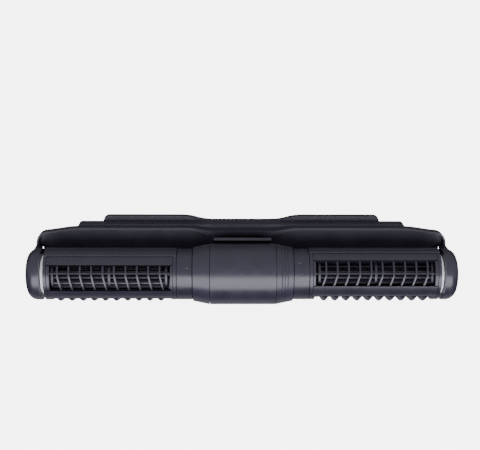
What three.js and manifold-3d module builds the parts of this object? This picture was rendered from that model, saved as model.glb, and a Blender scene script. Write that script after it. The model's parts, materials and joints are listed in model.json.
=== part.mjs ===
// A cross-flow wave maker pump on its magnet bracket.
// Lengths are millimetres. +X runs along the rotor, +Y points to the glass and +Z is up.
// Every shape is drawn about the pump axis. The finished group is moved so that the origin
// is the centre of the rubber face that lies on the glass.
// A "turn" is an angle in degrees round the pump axis, up from straight ahead (-Y).
// Pieces that come in pairs are drawn on the +X side, and the left one is its mirror image.

import * as THREE from "three";
import { mergeVertices } from "three/addons/utils/BufferGeometryUtils.js";
import Module from "manifold-3d";

const wasm = await Module();
wasm.setup();

// ---------------------------------------------------------------- fits and facets

const FIT = 0.3; // gap between two pieces that are fixed to each other
const RUN = 0.35; // gap round a piece that turns
const PRESS = 0.15; // gap where a piece is pressed on a pin or shaft
const ROUND = 32; // facets of a large circle
const SMALL_ROUND = 12; // facets of a small circle
const DISC_ROUND = 24; // facets of an impeller disc
const THROUGH = 1; // how far a cutting shape passes a face it opens

// ---------------------------------------------------------------- pump, along X

const BARREL_HALF = 27;
const BARREL_RADIUS = 25.3;
const BARREL_WALL = 2.5;
const BELL_END = 41.2;
const COLLAR_END = 54.2;
const COLLAR_WALL = 3.9;
const CAGE_LENGTH = 108.2;
const CAGE_RADIUS = 21.2;
const CAGE_WALL = 2.2;
const RING_GAP = 3.3; // between the cage's end and the end cap
const CAP_LENGTH = 12.7;

const BARREL_BORE = BARREL_RADIUS - BARREL_WALL;
const CAGE_END = COLLAR_END + CAGE_LENGTH;
const CAGE_BORE = CAGE_RADIUS - CAGE_WALL;
const CAP_START = CAGE_END + RING_GAP;
const CAP_END = CAP_START + CAP_LENGTH;
const SPIGOT_RADIUS = CAGE_RADIUS - COLLAR_WALL - RUN;
const SPIGOT_END = COLLAR_END - 0.8;

// ---------------------------------------------------------------- rotor

const SHAFT_RADIUS = 2.5;
const SHAFT_END = COLLAR_END + 4.8;
const MAGNET_ROTOR_RADIUS = 9.5;
const MAGNET_ROTOR_HALF = 20;
const PIN_RADIUS = 2;
const COUPLER_RADIUS = SHAFT_RADIUS + 2.1;
const WASHER_START = SPIGOT_END + FIT;
const WASHER_THICK = 0.8;
const COUPLER_START = WASHER_START + WASHER_THICK + FIT;

// ---------------------------------------------------------------- cage windows

const WINDOW_START = COLLAR_END + 5.2;
const WINDOW_END = CAGE_END - 5.4;
const PANEL_START = COLLAR_END + 2.8;
const PANEL_END = CAGE_END - 2.4;
const OUTLET_PANEL = 53; // half turn of the outlet panel
const OUTLET_WINDOW = 30;
const INLET_PANEL = [-165, -58];
const INLET_WINDOW = [-159, -64];
const RIB_COUNT = 10;
const RIB_PITCH = (WINDOW_END - WINDOW_START) / 10.6;
const RIB_WIDTH = 1.5;
const INLET_RIB_WIDTH = 4.2;
const INLET_RIB_RISE = 1.2; // how far the inlet's ribs stand proud of the cage
const BACK_RISE = 0.8; // how far the cage's closed back stands proud of its panels
const RIB_LEAN = 3; // how far a rib's foot leans towards the motor
const RIB_KINK = 16.5; // turn at which the ribs of both cages start to lean, as the pump is set
const STRINGER_TURN = 20.5; // turn of the bar across the outlet's ribs, as the pump is set
const LEFT_CAGE_TURN = 9; // how far each outlet points up as the pump is set
const RIGHT_CAGE_TURN = 21.4;

const IMPELLER_RADIUS = CAGE_BORE - 2.8;
const IMPELLER_START = WINDOW_START + 2.4;
const IMPELLER_END = WINDOW_END - 0.3;
const DISC_THICK = 2;
const BLADE_COUNT = 20;
const BLADE_DEPTH = 5;

// ---------------------------------------------------------------- motor inside

const CAN_BORE = MAGNET_ROTOR_RADIUS + 0.6;
const CAN_WALL = 1;
const CAN_HALF = BARREL_HALF + 9;
const BEARING_RADIUS = 6;
const STATOR_HALF = 14;
const STATOR_RIM = 3;
const TOOTH_COUNT = 6;
const TOOTH_WIDTH = 5;
const COIL_THICK = 2;
const SEAL_SECTION = 0.6; // radius of an O-ring's section

// ---------------------------------------------------------------- bracket, along Y from the glass

const AXIS_TO_GLASS = 58;
const PAD_THICK = 1.5;
const COVER_DEPTH = 6;
const HOUSING_DEPTH = 11.5;
const HOOD_DEPTH = 8.1;
const HOOD_WALL = 3;
const HOOD_RIM = 1.6;
const HOOD_DIP = 2; // how much more the hood's recess dips over the motor than its outline
const ARM_THICK = 3.5;
const SKIN = 1.5; // plastic between the magnets and the pad
const TRAY_WALL = 2.4;

const COVER_BACK = AXIS_TO_GLASS - PAD_THICK - FIT;
const COVER_FRONT = COVER_BACK - COVER_DEPTH;
const HOUSING_BACK = COVER_FRONT - FIT;
const HOUSING_FRONT = HOUSING_BACK - HOUSING_DEPTH;
const HOOD_BACK = HOUSING_FRONT - FIT;
const HOOD_INSIDE = HOOD_BACK - HOOD_WALL;
const HOOD_FRONT = HOOD_BACK - HOOD_DEPTH;
const HOOD_HALF = CAP_START + 10.3;
const KEEPER_FRONT = HOUSING_FRONT + TRAY_WALL + FIT;
const KEEPER_THICK = 1.5;

const SADDLE_HALF = 24;
const SADDLE_WALL = 4.6;
const SADDLE_LIP = 2.2; // thickness of the lips at the saddle's ends, which stand off the barrel
const FOOT_HALF = [18, 8]; // half length and half height of the motor's foot
const GLAND_TURN = 220;
const GLAND_BOSS = 2.2; // how far the gland's boss stands proud of the barrel
const GLAND_START = BARREL_RADIUS + GLAND_BOSS + FIT;
const GLAND_END = GLAND_START + 8.4;
const GLAND_RADIUS = 4.4;
const CAP_SCREW_PLACE = [13, 0]; // y and z from the pump axis
const COVER_SCREW_X = 112;
const COVER_SCREW_LEVELS = [-19, 7]; // z of the screws that hold the cover
const FOOT_SCREW_X = 11;
const SCREW_RADIUS = 1.5;
const SCREW_HOLE = SCREW_RADIUS + FIT;
const SCREW_HEAD = 3;
const HEAD_THICK = 1.7;

// ---------------------------------------------------------------- shape helpers

// Three.js geometry as a solid that can be added to and cut.
function solid(geometry) {
  const bare = new THREE.BufferGeometry();
  bare.setAttribute("position", geometry.getAttribute("position"));
  bare.setIndex(geometry.getIndex());
  const merged = mergeVertices(bare, 1e-4);
  const corners = merged.index.array;
  const kept = [];
  for (let i = 0; i < corners.length; i += 3) {
    const [a, b, c] = corners.slice(i, i + 3);
    if (a !== b && b !== c && c !== a) kept.push(a, b, c);
  }
  return new wasm.Manifold(
    new wasm.Mesh({
      numProp: 3,
      vertProperties: new Float32Array(merged.attributes.position.array),
      triVerts: new Uint32Array(kept),
    }),
  );
}

const joined = (...solids) => solids.reduce((whole, piece) => whole.add(piece));
const cut = (body, ...tools) => tools.reduce((rest, tool) => rest.subtract(tool), body);
const radians = THREE.MathUtils.degToRad;
const lerp = THREE.MathUtils.lerp;

// The mirror image across x = 0 of a geometry, with its faces turned out again.
function mirrored(geometry) {
  const image = geometry.clone().toNonIndexed().scale(-1, 1, 1);
  const at = image.getAttribute("position");
  for (let i = 0; i < at.count; i += 3) {
    const second = new THREE.Vector3().fromBufferAttribute(at, i + 1);
    const third = new THREE.Vector3().fromBufferAttribute(at, i + 2);
    at.setXYZ(i + 1, third.x, third.y, third.z);
    at.setXYZ(i + 2, second.x, second.y, second.z);
  }
  return image;
}

// A profile of [x, radius] points turned about the pump axis.
function turnedShape(profile, facets = ROUND) {
  const points = profile.map(([x, radius]) => new THREE.Vector2(radius, x));
  if (THREE.ShapeUtils.area(points) < 0) points.reverse();
  const onAxis = points[0].x === 0 && points[points.length - 1].x === 0;
  if (!onAxis) points.push(points[0].clone());
  return new THREE.LatheGeometry(points, facets).rotateZ(-Math.PI / 2);
}

const turned = (profile, facets) => solid(turnedShape(profile, facets));

function rodProfile(x0, x1, radius) {
  return [
    [x0, 0],
    [x0, radius],
    [x1, radius],
    [x1, 0],
  ];
}

function ringProfile(x0, x1, inner, outer) {
  return [
    [x0, inner],
    [x0, outer],
    [x1, outer],
    [x1, inner],
  ];
}

const rod = (x0, x1, radius, facets) => turned(rodProfile(x0, x1, radius), facets);
const ring = (x0, x1, inner, outer, facets) => turned(ringProfile(x0, x1, inner, outer), facets);

// A round bar along +X at a place given by its y and z.
function barAlongX([y, z], x0, x1, radius) {
  return solid(turnedShape(rodProfile(x0, x1, radius), SMALL_ROUND).translate(0, y, z));
}

// A box between two values on each axis.
function boxShape([x0, x1], [y0, y1], [z0, z1]) {
  const box = new THREE.BoxGeometry(x1 - x0, y1 - y0, z1 - z0);
  return box.translate((x0 + x1) / 2, (y0 + y1) / 2, (z0 + z1) / 2);
}

const box = (x, y, z) => solid(boxShape(x, y, z));

// A block bent round the pump axis between two radii and two turns.
// lean gives how far the block moves along x at a turn.
function bent({ x, radius, turn, steps, lean = () => 0 }) {
  const block = new THREE.BoxGeometry(1, 1, 1, 1, 1, steps);
  const at = block.getAttribute("position");
  for (let i = 0; i < at.count; i++) {
    const angle = lerp(turn[1], turn[0], at.getZ(i) + 0.5);
    const out = lerp(radius[0], radius[1], at.getY(i) + 0.5);
    const along = lerp(x[0], x[1], at.getX(i) + 0.5) + lean(angle);
    at.setXYZ(i, along, -out * Math.cos(radians(angle)), out * Math.sin(radians(angle)));
  }
  return solid(block);
}

// A geometry drawn along +X from the pump axis, laid out along a turn instead.
const radial = (geometry, turn) => geometry.rotateZ(Math.PI / 2).rotateX(Math.PI - radians(turn));

// An outline in x and z made a slab between two values of y.
function slab(outline, y0, y1) {
  const plate = new THREE.ExtrudeGeometry(outline, { depth: y1 - y0, bevelEnabled: false });
  return solid(plate.rotateX(Math.PI / 2).translate(0, y1, 0));
}

// An outline in y and z made a beam between two values of x.
function beamShape(outline, x0, x1, curveSegments) {
  const bar = new THREE.ExtrudeGeometry(outline, { depth: x1 - x0, bevelEnabled: false, curveSegments });
  const turnOver = new THREE.Matrix4().makeBasis(
    new THREE.Vector3(0, 1, 0),
    new THREE.Vector3(0, 0, 1),
    new THREE.Vector3(1, 0, 0),
  );
  return bar.applyMatrix4(turnOver).translate(x0, 0, 0);
}

// A closed outline from its first quarter, which runs from the z axis to the x axis.
function fromQuarter(quarter, curveSteps) {
  const first = quarter.getPoints(curveSteps);
  const second = first.map((p) => new THREE.Vector2(p.x, -p.y)).reverse();
  const right = [...first, ...second];
  const left = right.map((p) => new THREE.Vector2(-p.x, p.y)).reverse();
  return new THREE.Shape([...right, ...left]);
}

// ---------------------------------------------------------------- bracket outlines

const WAIST_CURVE_STEPS = 4;

// The half heights of each outline, and where along x it rises from its waist to its level.
const HOOD_SHAPE = { waist: 28, waistEnd: 22, levelStart: 50, level: 30.6, shoulder: 27.4, corner: 12 };
const HOOD_FALL = 34; // length over which the hood falls to its shoulder
const COVER_SHAPE = { waist: 31.7, waistEnd: 24, levelStart: 54, level: 35.7, end: 120.7, corner: 6 };
const HOUSING_SHAPE = { level: 31.5, end: 141.7, corner: 4 };

function startDipped({ waist, waistEnd, levelStart, level }, inset, dip = 0) {
  const middle = (waistEnd + levelStart) / 2;
  const low = waist - inset - dip;
  const high = level - inset;
  const quarter = new THREE.Path();
  quarter.moveTo(0, low);
  quarter.lineTo(waistEnd, low);
  quarter.bezierCurveTo(middle, low, middle, high, levelStart, high);
  return quarter;
}

function endRounded(quarter, end, high, corner) {
  quarter.lineTo(end - corner, high);
  quarter.quadraticCurveTo(end, high, end, high - corner);
  quarter.lineTo(end, 0);
  return fromQuarter(quarter, WAIST_CURVE_STEPS);
}

// The hood is dipped over the motor, level along the housing and falls a little at its ends.
function hoodOutline(inset, dip) {
  const { level, shoulder, corner } = HOOD_SHAPE;
  const quarter = startDipped(HOOD_SHAPE, inset, dip);
  quarter.lineTo(HOOD_HALF - HOOD_FALL, level - inset);
  return endRounded(quarter, HOOD_HALF - inset, shoulder - inset, corner - inset);
}

// The cover and the pad are dog-bone plates with a shallow waist.
function coverOutline(inset) {
  const { level, end, corner } = COVER_SHAPE;
  const quarter = startDipped(COVER_SHAPE, inset);
  return endRounded(quarter, end - inset, level - inset, Math.max(corner - inset, 1));
}

function housingOutline(inset) {
  const { level, end, corner } = HOUSING_SHAPE;
  const quarter = new THREE.Path();
  quarter.moveTo(0, level - inset);
  return endRounded(quarter, end - inset, level - inset, corner);
}

// ---------------------------------------------------------------- bracket pieces

const bothSides = [-1, 1];
const coverScrewPlaces = bothSides.flatMap((side) =>
  COVER_SCREW_LEVELS.map((level) => [side * COVER_SCREW_X, level]),
);

// A round bar along +Y at a place given by its x and z.
function barAlongY([x, z], y0, y1, radius) {
  const bar = new THREE.CylinderGeometry(radius, radius, y1 - y0, SMALL_ROUND);
  return solid(bar.translate(x, (y0 + y1) / 2, z));
}

// An arm's outline in y and z: it hugs the back of the end cap.
function armOutline() {
  const high = 15.4;
  const hug = CAGE_RADIUS + 0.6;
  const start = Math.asin(high / hug);
  const outline = new THREE.Shape();
  outline.moveTo(HOOD_BACK, -high);
  outline.lineTo(HOOD_BACK, high);
  outline.lineTo(hug * Math.cos(start), high);
  outline.absarc(0, 0, hug, start, -start, true);
  outline.lineTo(HOOD_BACK, -high);
  return outline;
}

const ARM_START = HOOD_HALF - ARM_THICK;
const TONGUE_START = CAP_START + 4.1;
const TONGUE_END = ARM_START + 1.5;
const TONGUE_HIGH = 9;
const TONGUE_FRONT = 8;

function endArm(side) {
  const arm = solid(beamShape(armOutline(), ARM_START, HOOD_HALF, 8));
  const tongueBack = CAGE_RADIUS + 3;
  const tongue = box([TONGUE_START, TONGUE_END], [TONGUE_FRONT, tongueBack], [-TONGUE_HIGH, TONGUE_HIGH]);
  const screwHole = barAlongX(CAP_SCREW_PLACE, TONGUE_START - THROUGH, HOOD_HALF, SCREW_HOLE);
  return onSide(cut(joined(arm, tongue), screwHole), side);
}

// A solid drawn on the +X side, or its mirror image.
function onSide(shape, side) {
  return side > 0 ? shape : solid(mirrored(geometryOf(shape)));
}

// The saddle holds the motor barrel from behind and joins it to the hood. Its lips stand off the barrel.
function saddle() {
  const bore = BARREL_RADIUS + FIT;
  const outside = bore + SADDLE_WALL;
  const x = [-SADDLE_HALF, SADDLE_HALF];
  const lips = bent({ x, radius: [outside - SADDLE_LIP, outside], turn: [112, 248], steps: 8 });
  const seat = bent({ x, radius: [bore - 0.2, outside - 1], turn: [130, 230], steps: 6 });
  const web = box(x, [BARREL_RADIUS, HOOD_INSIDE + THROUGH], [-15, 15]);
  return joined(lips, seat, web);
}

// A bar out along the gland's line from the pump axis.
function alongGland(start, end, radius, facets = SMALL_ROUND) {
  return solid(radial(turnedShape(rodProfile(start, end, radius), facets), GLAND_TURN));
}

const footBar = (side, y0, y1, radius) => barAlongY([side * FOOT_SCREW_X, 0], y0, y1, radius);

function backFrame() {
  const tray = cut(
    slab(hoodOutline(0), HOOD_FRONT, HOOD_BACK),
    slab(hoodOutline(HOOD_RIM, HOOD_DIP), HOOD_FRONT - THROUGH, HOOD_INSIDE),
  );
  const body = joined(tray, endArm(-1), endArm(1), saddle());
  const barrelRoom = rod(-SADDLE_HALF - THROUGH, SADDLE_HALF + THROUGH, BARREL_RADIUS + FIT);
  const footRoom = box(
    [-FOOT_HALF[0] - FIT, FOOT_HALF[0] + FIT],
    [0, HOOD_INSIDE],
    [-FOOT_HALF[1] - FIT, FOOT_HALF[1] + FIT],
  );
  const glandRoom = alongGland(BARREL_RADIUS - 5, GLAND_END + 2, 7);
  const coverHoles = coverScrewPlaces.map((place) =>
    barAlongY(place, HOOD_FRONT, HOOD_BACK + THROUGH, SCREW_HOLE),
  );
  const footHoles = bothSides.flatMap((side) => [
    footBar(side, HOOD_FRONT, HOOD_BACK + THROUGH, SCREW_HOLE),
    footBar(side, HOOD_BACK - HEAD_THICK - FIT, HOOD_BACK + THROUGH, SCREW_HEAD + FIT),
  ]);
  return cut(body, barrelRoom, footRoom, glandRoom, ...coverHoles, ...footHoles, ...drainSlots());
}

// Four small slots through the hood's corners, beside the arms.
function drainSlots() {
  return bothSides.flatMap((side) =>
    bothSides.map((level) => {
      const x = [side * (ARM_START - 1.5), side * (ARM_START - 0.3)].sort((a, b) => a - b);
      const z = [level * 9.5, level * 12.5].sort((a, b) => a - b);
      return box(x, [HOOD_INSIDE - THROUGH, HOOD_BACK + THROUGH], z);
    }),
  );
}

function magnetHousing() {
  const tray = cut(
    slab(housingOutline(0), HOUSING_FRONT, HOUSING_BACK),
    slab(housingOutline(TRAY_WALL), HOUSING_FRONT + TRAY_WALL, HOUSING_BACK + THROUGH),
  );
  const holes = coverScrewPlaces.map((place) =>
    barAlongY(place, HOUSING_FRONT - THROUGH, HOUSING_BACK, SCREW_HOLE),
  );
  return cut(tray, ...holes);
}

const BOSS_FRONT = HOUSING_FRONT + TRAY_WALL + FIT;

function magnetCover() {
  const plate = slab(coverOutline(0), COVER_FRONT, COVER_BACK);
  const room = slab(coverOutline(7), COVER_FRONT - THROUGH, COVER_BACK - SKIN);
  const bosses = coverScrewPlaces.map((place) => barAlongY(place, BOSS_FRONT, COVER_BACK - SKIN / 2, 4));
  const holes = coverScrewPlaces.map((place) =>
    barAlongY(place, BOSS_FRONT - THROUGH, COVER_BACK - SKIN, SCREW_HOLE),
  );
  return cut(joined(cut(plate, room), ...bosses), ...holes);
}

const glassPad = () => slab(coverOutline(3), AXIS_TO_GLASS - PAD_THICK, AXIS_TO_GLASS);
const keeperPlate = () => box([-104, 104], [KEEPER_FRONT, KEEPER_FRONT + KEEPER_THICK], [-24, 24]);

function magnet() {
  const front = KEEPER_FRONT + KEEPER_THICK + FIT;
  return box([38, 100], [front, COVER_BACK - SKIN - FIT], [-22, 22]);
}

// A pan-head screw along +Y: its head's front face is at headFront and its point at tip.
// A tip in front of the head makes a screw that is driven from behind.
function screwAlongY(place, headFront, tip) {
  const head = barAlongY(place, headFront, headFront + HEAD_THICK, SCREW_HEAD);
  const near = tip > headFront ? headFront + HEAD_THICK / 2 : tip;
  const far = tip > headFront ? tip : headFront + HEAD_THICK / 2;
  return joined(head, barAlongY(place, near, far, SCREW_RADIUS));
}

const COVER_SCREW_FRONT = HOOD_INSIDE - HEAD_THICK - FIT;
const FOOT_SCREW_TIP = BARREL_RADIUS + 2.2;
const coverScrew = (place) => screwAlongY(place, COVER_SCREW_FRONT, COVER_BACK - SKIN - THROUGH);
const footScrew = (side) => screwAlongY([side * FOOT_SCREW_X, 0], HOOD_BACK - HEAD_THICK, FOOT_SCREW_TIP);

// ---------------------------------------------------------------- end pieces

const BOSS_RADIUS = 12;
const BOSS_START = CAGE_END - 4.2;
const CAP_EDGE = 8; // rounding of the end cap's rim
const CAP_CROWN = 1; // how far the cap's face swells
const PIN_END = CAP_START - 0.6;
const BUSH_END = CAP_START;

function endCapProfile() {
  const radius = CAGE_RADIUS + 0.1;
  const edge = CAP_END - CAP_CROWN - CAP_EDGE;
  const path = new THREE.Path();
  path.moveTo(BUSH_END + FIT, 0);
  path.lineTo(BUSH_END + FIT, BEARING_RADIUS + FIT);
  path.lineTo(BOSS_START, BEARING_RADIUS + FIT);
  path.lineTo(BOSS_START, BOSS_RADIUS);
  path.lineTo(CAP_START, BOSS_RADIUS);
  path.lineTo(CAP_START, radius);
  path.lineTo(edge, radius);
  path.absarc(edge, radius - CAP_EDGE, CAP_EDGE, Math.PI / 2, 0, true);
  path.quadraticCurveTo(CAP_END, radius / 3, CAP_END, 0);
  return path.getPoints(2).map((p) => [p.x, p.y]);
}

const CAP_SCREW_SEAT = TONGUE_END + FIT + 1.2;
const CAP_SCREW_TIP = TONGUE_START + THROUGH / 2;

function endCap() {
  const tongueRoom = box(
    [TONGUE_START - FIT, TONGUE_END + FIT],
    [TONGUE_FRONT - FIT, CAGE_RADIUS + 4],
    [-TONGUE_HIGH - FIT, TONGUE_HIGH + FIT],
  );
  const screwHole = barAlongX(CAP_SCREW_PLACE, TONGUE_START, CAP_END + THROUGH, SCREW_HOLE);
  const headRoom = barAlongX(CAP_SCREW_PLACE, CAP_SCREW_SEAT, CAP_END + THROUGH, SCREW_HEAD + FIT);
  return cut(turned(tidy(endCapProfile())), tongueRoom, screwHole, headRoom);
}

// A profile without points that repeat the one before them.
function tidy(profile) {
  const apart = (p, q) => Math.hypot(p[0] - q[0], p[1] - q[1]) > 1e-6;
  return profile.filter((p, i) => i === 0 || apart(p, profile[i - 1]));
}

function capScrew() {
  const seat = CAP_SCREW_SEAT + FIT;
  const head = barAlongX(CAP_SCREW_PLACE, seat, seat + HEAD_THICK, SCREW_HEAD);
  const shank = barAlongX(CAP_SCREW_PLACE, CAP_SCREW_TIP, seat + HEAD_THICK / 2, SCREW_RADIUS);
  return joined(head, shank);
}

const endRing = () => ring(CAGE_END + RUN, CAP_START - FIT, BOSS_RADIUS + RUN, BOSS_RADIUS + 4.4);
const endBearing = () => ring(BOSS_START + FIT, BUSH_END, PIN_RADIUS + RUN, BEARING_RADIUS, SMALL_ROUND);

// ---------------------------------------------------------------- motor pieces

function motorShell() {
  const barrel = ring(-BARREL_HALF, BARREL_HALF, BARREL_BORE, BARREL_RADIUS);
  const foot = box(
    [-FOOT_HALF[0], FOOT_HALF[0]],
    [BARREL_BORE + 0.8, HOOD_INSIDE - FIT],
    [-FOOT_HALF[1], FOOT_HALF[1]],
  );
  const glandBoss = alongGland(BARREL_BORE + 0.8, BARREL_RADIUS + GLAND_BOSS, 6);
  const screwHoles = bothSides.map((side) =>
    barAlongY([side * FOOT_SCREW_X, 0], BARREL_RADIUS + 1.5, HOOD_INSIDE, SCREW_HOLE),
  );
  return cut(joined(barrel, foot, glandBoss), ...screwHoles);
}

// The gland's seal is closed, and its end is dished where a cord would go in.
function cableGland() {
  const profile = [
    [GLAND_START, 0],
    [GLAND_START, 6],
    [GLAND_START + 2, 6],
    [GLAND_START + 2, GLAND_RADIUS],
    [GLAND_END - 0.8, GLAND_RADIUS],
    [GLAND_END, GLAND_RADIUS - 0.8],
    [GLAND_END, 2.6],
    [GLAND_END - 1, 2.2],
    [GLAND_END - 1, 0],
  ];
  return solid(radial(turnedShape(profile, SMALL_ROUND), GLAND_TURN));
}

function glandNut() {
  const hexagon = 6;
  const blank = alongGland(GLAND_START + 2.3, GLAND_START + 6.3, 6.4, hexagon);
  return cut(blank, alongGland(GLAND_START, GLAND_END + THROUGH, GLAND_RADIUS + PRESS));
}

const BELL_FACE = BARREL_HALF + FIT;
const BELL_SPIGOT = BELL_FACE - 3.8;
const BELL_SPIGOT_RADIUS = BARREL_BORE - FIT;
const SEAL_GROOVE = BELL_SPIGOT_RADIUS - 2 * SEAL_SECTION - FIT;
const CAN_SEAT = CAN_HALF + FIT;
const BEARING_START = CAN_SEAT + 7;

const FINE_RING_WIDTH = 0.8;
const FINE_RING_DEPTH = 0.5;
const FINE_RINGS = [0.3, 0.47, 0.64].map((t) => lerp(BELL_FACE, BELL_END, t));

// The bell is a shallow cone from the barrel down to the collar it carries.
const BELL_END_RADIUS = CAGE_RADIUS + 1.3;

function bellRadius(x) {
  return lerp(BARREL_RADIUS, BELL_END_RADIUS, (x - BELL_FACE) / (BELL_END - BELL_FACE));
}

// The right bell alone carries three fine rings, each a shallow V.
function bellOutside(withRings) {
  const rings = FINE_RINGS.flatMap((x) => {
    const floor = x + FINE_RING_WIDTH / 2;
    const end = x + FINE_RING_WIDTH;
    return [
      [x, bellRadius(x)],
      [floor, bellRadius(floor) - FINE_RING_DEPTH],
      [end, bellRadius(end)],
    ];
  });
  return turned([
    [BELL_SPIGOT, 0],
    [BELL_SPIGOT, BELL_SPIGOT_RADIUS],
    [BELL_FACE, BELL_SPIGOT_RADIUS],
    [BELL_FACE, BARREL_RADIUS],
    ...(withRings ? rings : []),
    [BELL_END, BELL_END_RADIUS],
    [BELL_END, SPIGOT_RADIUS],
    [SPIGOT_END, SPIGOT_RADIUS],
    [SPIGOT_END, 0],
  ]);
}

function bellInside() {
  const canSeat = CAN_BORE + CAN_WALL + FIT;
  const flange = canSeat + 2.2;
  const hollow = BARREL_BORE - 3;
  const room = ring(BELL_SPIGOT - THROUGH, CAN_SEAT - 2, flange, hollow, SMALL_ROUND);
  const bore = turned(
    [
      [BELL_SPIGOT - THROUGH, 0],
      [BELL_SPIGOT - THROUGH, canSeat],
      [CAN_SEAT, canSeat],
      [CAN_SEAT, BEARING_RADIUS + FIT],
      [SPIGOT_END - 2.6, BEARING_RADIUS + FIT],
      [SPIGOT_END - 2.6, SHAFT_RADIUS + RUN],
      [SPIGOT_END + THROUGH, SHAFT_RADIUS + RUN],
      [SPIGOT_END + THROUGH, 0],
    ],
    SMALL_ROUND,
  );
  return [room, bore];
}

function endBell(withRings) {
  const groove = ring(BELL_FACE - 2.5, BELL_FACE - 0.9, SEAL_GROOVE, BARREL_RADIUS);
  return cut(bellOutside(withRings), ...bellInside(), groove);
}

function sealRing() {
  const middle = SEAL_GROOVE + SEAL_SECTION + FIT - 0.05;
  const seal = new THREE.TorusGeometry(middle, SEAL_SECTION, 4, DISC_ROUND).rotateY(Math.PI / 2);
  return solid(seal.translate(BELL_FACE - 1.7, 0, 0));
}

function motorBearing() {
  return ring(BEARING_START, SPIGOT_END - 2.6 - FIT, SHAFT_RADIUS + RUN, BEARING_RADIUS, SMALL_ROUND);
}
const statorCan = () => ring(-CAN_HALF, CAN_HALF, CAN_BORE, CAN_BORE + CAN_WALL, SMALL_ROUND);

const CORE_BORE = CAN_BORE + CAN_WALL + FIT;
const CORE_RADIUS = BARREL_BORE - FIT;

function aroundAxis(makeAt, count) {
  return Array.from({ length: count }, (_, i) => makeAt((i * 360) / count));
}

// A box drawn from the pump axis out along +Y, set at a turn.
function boxAtTurn(x, out, width, turn) {
  const shape = boxShape(x, out, [-width / 2, width / 2]);
  return solid(shape.rotateX(Math.PI - radians(turn)));
}

function statorCore() {
  const rim = ring(-STATOR_HALF, STATOR_HALF, CORE_RADIUS - STATOR_RIM, CORE_RADIUS);
  const teeth = aroundAxis(
    (turn) => boxAtTurn([-STATOR_HALF, STATOR_HALF], [CORE_BORE + 0.5, CORE_RADIUS - 1], TOOTH_WIDTH, turn),
    TOOTH_COUNT,
  );
  return joined(rim, ...teeth);
}

function coil(turn) {
  const out = [CORE_BORE + 1.6, CORE_RADIUS - STATOR_RIM - 0.8];
  const long = STATOR_HALF + FIT;
  const width = TOOTH_WIDTH + 2 * FIT + 2 * COIL_THICK;
  const winding = boxAtTurn([-long - COIL_THICK, long + COIL_THICK], out, width, turn);
  const core = boxAtTurn([-long, long], [0, BARREL_BORE], TOOTH_WIDTH + 2 * FIT, turn);
  return cut(winding, core);
}

function driverBoard() {
  const face = STATOR_HALF + COIL_THICK + 2.5;
  return ring(face, face + 1.6, CORE_BORE, CORE_RADIUS - STATOR_RIM);
}

// ---------------------------------------------------------------- cage pieces

const ribCentres = Array.from(
  { length: RIB_COUNT },
  (_, i) => (WINDOW_START + WINDOW_END) / 2 + 1 + (i - (RIB_COUNT - 1) / 2) * RIB_PITCH,
);

// A gap of FIT at the cage's radius, as a turn.
const FIT_TURN = THREE.MathUtils.radToDeg(FIT / CAGE_BORE);

function panelRoom(turn, steps) {
  return bent({ x: [PANEL_START, PANEL_END], radius: [CAGE_BORE - 2, CAGE_RADIUS + 2], turn, steps });
}

function cageShell() {
  const tube = turned([
    [COLLAR_END + FIT, CAGE_BORE],
    [COLLAR_END + FIT, CAGE_RADIUS],
    [CAGE_END, CAGE_RADIUS],
    [CAGE_END, BOSS_RADIUS + RUN],
    [CAGE_END - 2, BOSS_RADIUS + RUN],
    [CAGE_END - 2, CAGE_BORE],
  ]);
  const back = bent({
    x: [COLLAR_END + FIT, CAGE_END],
    radius: [CAGE_RADIUS - 0.5, CAGE_RADIUS + BACK_RISE],
    turn: [OUTLET_PANEL, 360 + INLET_PANEL[0]],
    steps: 12,
  });
  return cut(joined(tube, back), panelRoom([-OUTLET_PANEL, OUTLET_PANEL], 8), panelRoom(INLET_PANEL, 8));
}

function cageCollar() {
  const bore = SPIGOT_RADIUS + RUN;
  const body = turned([
    [BELL_END + RUN, bore],
    [BELL_END + RUN, CAGE_RADIUS],
    [COLLAR_END, CAGE_RADIUS],
    [COLLAR_END, CAGE_BORE - FIT],
    [PANEL_START - FIT, CAGE_BORE - FIT],
    [PANEL_START - FIT, bore],
  ]);
  const mark = bent({
    x: [BELL_END + 3, BELL_END + 6.3],
    radius: [CAGE_RADIUS - 1, CAGE_RADIUS + 0.4],
    turn: [21.8, 24.2],
    steps: 1,
  });
  return joined(body, mark);
}

function panel(turn, window, steps) {
  const plate = bent({
    x: [PANEL_START + FIT, PANEL_END - FIT],
    radius: [CAGE_BORE, CAGE_RADIUS],
    turn: [turn[0] + FIT_TURN, turn[1] - FIT_TURN],
    steps,
  });
  const opening = bent({
    x: [WINDOW_START, WINDOW_END],
    radius: [CAGE_BORE - 2, CAGE_RADIUS + 2],
    turn: window,
    steps,
  });
  return cut(plate, opening);
}

function rib({ centre, width, radius, turn, steps, lean }) {
  return bent({ x: [centre - width / 2, centre + width / 2], radius, turn, steps, lean });
}

function stringer(turn, width) {
  return bent({
    x: [WINDOW_START - 1, WINDOW_END + 1],
    radius: [CAGE_BORE + 0.3, CAGE_RADIUS - 0.6],
    turn: [turn - width / 2, turn + width / 2],
    steps: 1,
  });
}

// The outlet's ribs run straight down at first and then lean towards the motor. They bend level with
// each other on both sides of the pump.
function outletGrille(cageTurn) {
  const foot = OUTLET_WINDOW + 2;
  const kink = RIB_KINK - cageTurn;
  const lean = (turn) => (turn < kink ? (-RIB_LEAN * (kink - turn)) / (kink + foot) : 0);
  const radius = [CAGE_BORE + 0.2, CAGE_RADIUS - 0.3];
  const ribs = ribCentres.map((centre) =>
    rib({ centre, width: RIB_WIDTH, radius, turn: [-foot, foot], steps: 5, lean }),
  );
  const frame = panel([-OUTLET_PANEL, OUTLET_PANEL], [-OUTLET_WINDOW, OUTLET_WINDOW], 8);
  return joined(frame, ...ribs, stringer(STRINGER_TURN - cageTurn, 3));
}

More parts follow.
